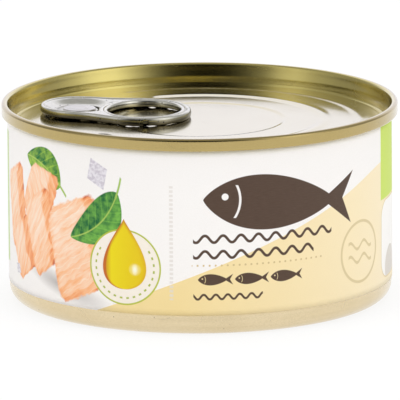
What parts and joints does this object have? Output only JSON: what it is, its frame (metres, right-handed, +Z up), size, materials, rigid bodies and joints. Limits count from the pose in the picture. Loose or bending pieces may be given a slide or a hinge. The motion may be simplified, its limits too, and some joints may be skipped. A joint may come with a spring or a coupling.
{
  "type": "food can",
  "caption": "Shut round food can with a drawn body, a seamed easy-open end with a ring-pull, and a printed paper label round the wall.",
  "frame": {"origin": "middle of the flat standing ring under the base", "axes": "+Z up along the can's axis; the ring-pull's nose points to -X and a little to +Y; -Y faces the viewer of the label's front"},
  "size_m": [0.0868, 0.0868, 0.0435],
  "materials": {
    "gold_lacquered_tinplate": "tinplate under thin gold lacquer, satin",
    "gold_lacquered_end": "tinplate under thin gold lacquer, bright",
    "bare_steel": "bare rolled tinplate, bright",
    "label_paper": "smooth coated paper, printed"
  },
  "bodies": {
    "root": {"can_body": "gold_lacquered_tinplate", "lid": "gold_lacquered_end", "pull_tab": "bare_steel", "paper_label": "label_paper"}
  },
  "joints": []
}
